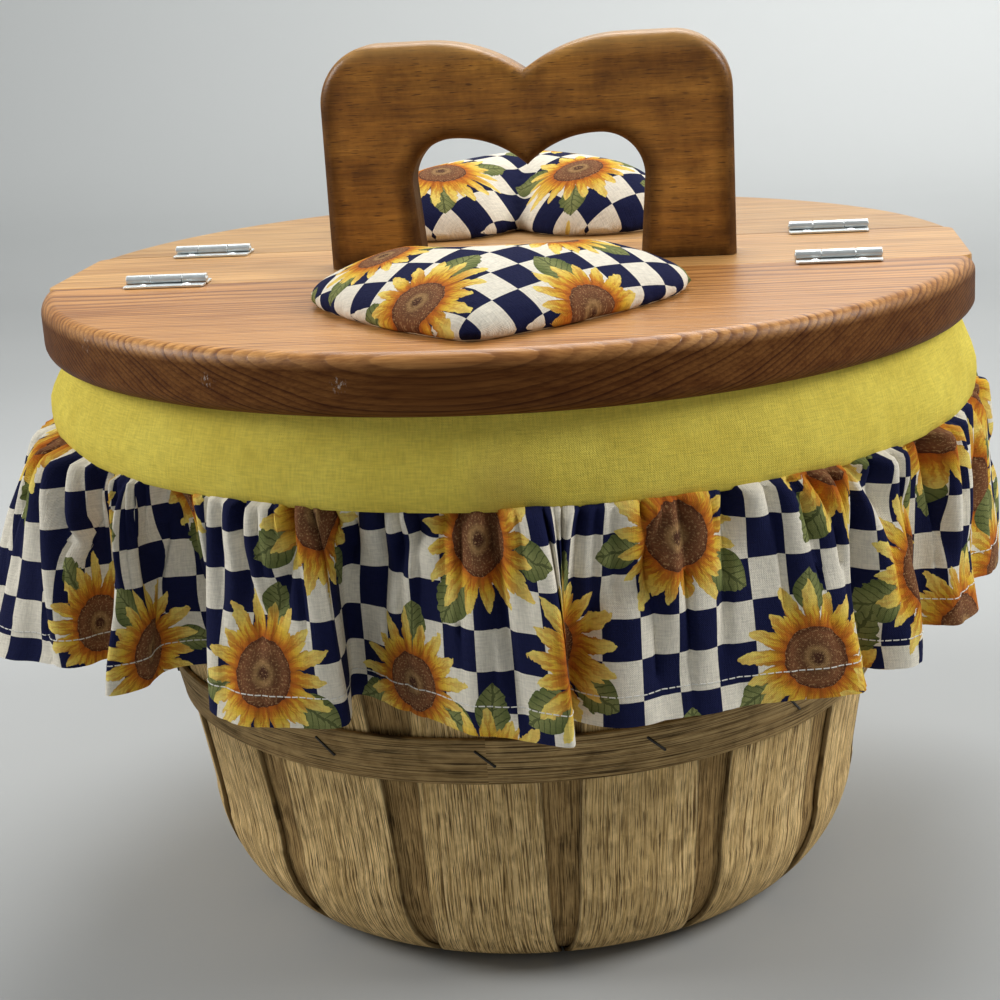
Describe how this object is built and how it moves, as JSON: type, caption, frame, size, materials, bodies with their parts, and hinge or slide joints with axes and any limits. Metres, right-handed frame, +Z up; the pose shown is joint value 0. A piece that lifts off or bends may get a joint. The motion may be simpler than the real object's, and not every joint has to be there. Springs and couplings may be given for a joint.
{
  "type": "sewing basket",
  "caption": "Round stave sewing basket with a split hinged lid, heart-shaped carrying handle, padded heart pincushions, cloth lining and gathered ruffle.",
  "frame": {"origin": "on the floor under the middle of the basket", "axes": "+Z up; the front lid flap is on the -Y side; both lid hinge axes run along X"},
  "size_m": [0.4718, 0.4878, 0.4024],
  "materials": {
    "stave_wood": "weathered, unfinished veneer",
    "inner_stave_wood": "weathered, unfinished veneer",
    "hoop_wood": "weathered, unfinished veneer",
    "plywood": "sanded, unfinished",
    "lid_pine": "honey stain under satin varnish",
    "front_lid_pine": "red-brown stain under satin varnish",
    "handle_wood": "walnut stain under satin varnish",
    "yellow_cotton": "plain-weave cotton",
    "print_cotton": "printed plain-weave cotton, navy and cream checks with yellow flowers",
    "zinc_steel": "bright zinc plate"
  },
  "bodies": {
    "basket": {"outer_stave_01": "stave_wood", "outer_stave_02": "stave_wood", "outer_stave_03": "stave_wood", "outer_stave_04": "stave_wood", "outer_stave_05": "stave_wood", "outer_stave_06": "stave_wood", "outer_stave_07": "stave_wood", "outer_stave_08": "stave_wood", "outer_stave_09": "stave_wood", "outer_stave_10": "stave_wood", "outer_stave_11": "stave_wood", "outer_stave_12": "stave_wood", "outer_stave_13": "stave_wood", "outer_stave_14": "stave_wood", "outer_stave_15": "stave_wood", "inner_stave_01": "inner_stave_wood", "inner_stave_02": "inner_stave_wood", "inner_stave_03": "inner_stave_wood", "inner_stave_04": "inner_stave_wood", "inner_stave_05": "inner_stave_wood", "inner_stave_06": "inner_stave_wood", "inner_stave_07": "inner_stave_wood", "inner_stave_08": "inner_stave_wood", "inner_stave_09": "inner_stave_wood", "inner_stave_10": "inner_stave_wood", "inner_stave_11": "inner_stave_wood", "inner_stave_12": "inner_stave_wood", "inner_stave_13": "inner_stave_wood", "inner_stave_14": "inner_stave_wood", "inner_stave_15": "inner_stave_wood", "waist_hoop": "hoop_wood", "rim_outer_hoop": "hoop_wood", "rim_inner_hoop": "hoop_wood", "base_disc": "plywood", "yellow_lining": "yellow_cotton", "ruffle": "print_cotton", "centre_strip": "lid_pine", "strip_cleat_left": "lid_pine", "strip_cleat_right": "lid_pine", "handle": "handle_wood", "handle_screw_left": "zinc_steel", "handle_screw_right": "zinc_steel", "front_left_hinge_strip_leaf": "zinc_steel", "front_right_hinge_strip_leaf": "zinc_steel", "front_left_hinge_pin": "zinc_steel", "front_right_hinge_pin": "zinc_steel", "back_left_hinge_strip_leaf": "zinc_steel", "back_right_hinge_strip_leaf": "zinc_steel", "back_left_hinge_pin": "zinc_steel", "back_right_hinge_pin": "zinc_steel"},
    "front_lid": {"front_lid_flap": "front_lid_pine", "front_pincushion_board": "plywood", "front_pincushion": "print_cotton", "front_left_hinge_flap_leaf": "zinc_steel", "front_right_hinge_flap_leaf": "zinc_steel"},
    "back_lid": {"back_lid_flap": "lid_pine", "back_pincushion_board": "plywood", "back_pincushion": "print_cotton", "back_left_hinge_flap_leaf": "zinc_steel", "back_right_hinge_flap_leaf": "zinc_steel"}
  },
  "joints": [
    {"name": "front_lid_hinge", "type": "hinge", "parent": "basket", "child": "front_lid", "pos_m": [0, -0.0435, 0.3028], "axis": [-1, 0, 0], "range_deg": [0, 90]},
    {"name": "back_lid_hinge", "type": "hinge", "parent": "basket", "child": "back_lid", "pos_m": [0, 0.0435, 0.3028], "axis": [1, 0, 0], "range_deg": [0, 90]}
  ]
}
